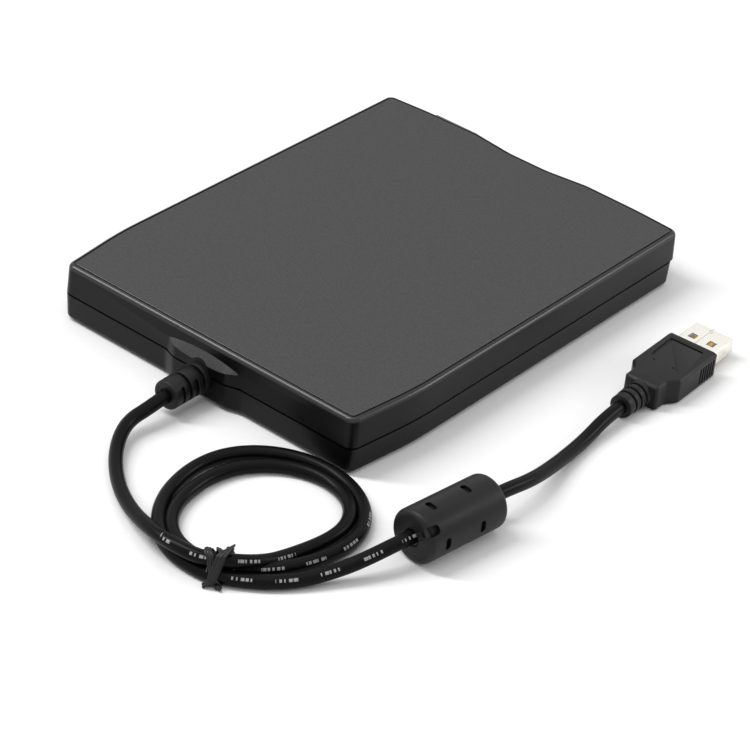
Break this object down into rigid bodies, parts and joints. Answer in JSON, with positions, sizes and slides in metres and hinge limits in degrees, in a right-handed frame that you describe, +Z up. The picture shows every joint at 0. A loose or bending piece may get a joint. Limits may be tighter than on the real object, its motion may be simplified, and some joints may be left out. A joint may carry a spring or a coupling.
{
  "type": "external floppy disk drive",
  "caption": "Slim black desktop case with a front disk slot, sprung dust flap, eject button, internal loading and head mechanism, and a coiled captive lead with a ferrite and plug.",
  "frame": {"origin": "middle of the case's footprint, on the surface that the feet stand on", "axes": "+Z up, -Y the front with the disk slot, +Y the rear with the lead"},
  "size_m": [0.1452, 0.1989, 0.017],
  "materials": {
    "case_plastic": "finely textured black ABS, smoother on the rounded edges",
    "bezel_plastic": "black ABS",
    "led_lens": "clear acrylic, slightly green",
    "foot_rubber": "black rubber",
    "screw_steel": "zinc-plated steel",
    "sheet_steel": "galvanised sheet steel",
    "turned_steel": "ground steel",
    "spring_steel": "spring wire",
    "rotor_steel": "nickel-plated steel",
    "hub_aluminium": "turned aluminium",
    "bearing_brass": "sintered bronze",
    "coil_copper": "enamelled copper wire",
    "carriage_plastic": "glass-filled black plastic",
    "head_ceramic": "polished ceramic head",
    "board_laminate": "green circuit board",
    "chip_plastic": "black moulded parts",
    "flat_cable_film": "white polyester film",
    "cable_jacket": "satin black PVC jacket",
    "moulded_pvc": "black moulded PVC",
    "ferrite": "sintered ferrite",
    "tie_plastic": "black coated wire tie",
    "plug_steel": "nickel-plated steel, bright",
    "plug_insulator_plastic": "white plastic",
    "contact_gold": "gold-plated contacts"
  },
  "bodies": {
    "case": {"upper_shell": "case_plastic", "lower_shell": "case_plastic", "front_bezel": "bezel_plastic", "led_window": "led_lens", "rubber_feet": "foot_rubber", "case_screws": "screw_steel", "drive_screws": "screw_steel", "drive_chassis": "sheet_steel", "drive_top_cover": "sheet_steel", "stepper_bracket": "sheet_steel", "guide_rod": "turned_steel", "eject_springs": "spring_steel", "stepper_motor": "rotor_steel", "spindle_bearing": "bearing_brass", "stator_coils": "coil_copper", "drive_board": "board_laminate", "interface_board": "board_laminate", "board_chips": "chip_plastic", "interface_chips": "chip_plastic", "board_connector": "chip_plastic", "sensor_switches": "chip_plastic", "board_standoffs": "chip_plastic", "flat_cable": "flat_cable_film", "cord_lead": "cable_jacket", "cord_coil": "cable_jacket", "cord_tail": "cable_jacket", "strain_relief": "moulded_pvc", "plug_grip": "moulded_pvc", "ferrite_cover": "moulded_pvc", "ferrite_core": "ferrite", "twist_tie": "tie_plastic", "plug_shell": "plug_steel", "plug_insulator": "plug_insulator_plastic", "plug_contacts": "contact_gold"},
    "eject_slide": {"slide_plate": "sheet_steel", "eject_button": "bezel_plastic"},
    "disk_cradle": {"disk_cradle": "sheet_steel", "cradle_pins": "turned_steel", "lever_pivot": "turned_steel"},
    "upper_head_arm": {"upper_head_arm": "sheet_steel", "upper_head": "head_ceramic"},
    "dust_flap": {"dust_flap": "bezel_plastic"},
    "shutter_lever": {"shutter_lever": "sheet_steel"},
    "head_carriage": {"head_carriage": "carriage_plastic", "lower_head": "head_ceramic", "arm_pin": "turned_steel"},
    "lead_screw": {"lead_screw": "turned_steel"},
    "spindle": {"spindle_rotor": "rotor_steel", "hub_plate": "hub_aluminium", "spindle_shaft": "turned_steel", "drive_pin": "turned_steel"}
  },
  "joints": [
    {"name": "eject_slide", "type": "slide", "parent": "case", "child": "eject_slide", "axis": [0, -1, 0], "range_m": [0, 0.005], "deforming": ["eject_springs"]},
    {"name": "cradle_drop", "type": "slide", "parent": "case", "child": "disk_cradle", "axis": [0, 0, -1], "range_m": [0, 0.0023]},
    {"name": "head_seek", "type": "slide", "parent": "case", "child": "head_carriage", "axis": [0, -1, 0], "range_m": [0, 0.0148]},
    {"name": "arm_swing", "type": "hinge", "parent": "head_carriage", "child": "upper_head_arm", "pos_m": [0, 0.0535, 0.0123], "axis": [1, 0, 0], "range_deg": [0, 7.8]},
    {"name": "flap_swing", "type": "hinge", "parent": "case", "child": "dust_flap", "pos_m": [0, -0.0665, 0.0131], "axis": [1, 0, 0], "range_deg": [0, 86], "stiffness_Nm_per_rad": 0.0005, "springref_deg": -17.19},
    {"name": "lever_swing", "type": "hinge", "parent": "disk_cradle", "child": "shutter_lever", "pos_m": [-0.036, 0.0255, 0.0143], "axis": [0, 0, 1], "range_deg": [0, 59], "stiffness_Nm_per_rad": 0.001, "springref_deg": -11.46},
    {"name": "screw_turn", "type": "hinge", "parent": "case", "child": "lead_screw", "pos_m": [-0.018, 0.035, 0.0082], "axis": [0, 1, 0], "range_deg": [0, 1421]},
    {"name": "spindle_turn", "type": "hinge", "parent": "case", "child": "spindle", "pos_m": [0, -0.0185, 0.0055], "axis": [0, 0, 1], "continuous": true}
  ],
  "couplings": [
    {"joint": "cradle_drop", "follows": "eject_slide", "ratio": 0.46},
    {"joint": "arm_swing", "follows": "eject_slide", "rad_per_m": 27.22},
    {"joint": "screw_turn", "follows": "head_seek", "rad_per_m": 1675.5}
  ]
}
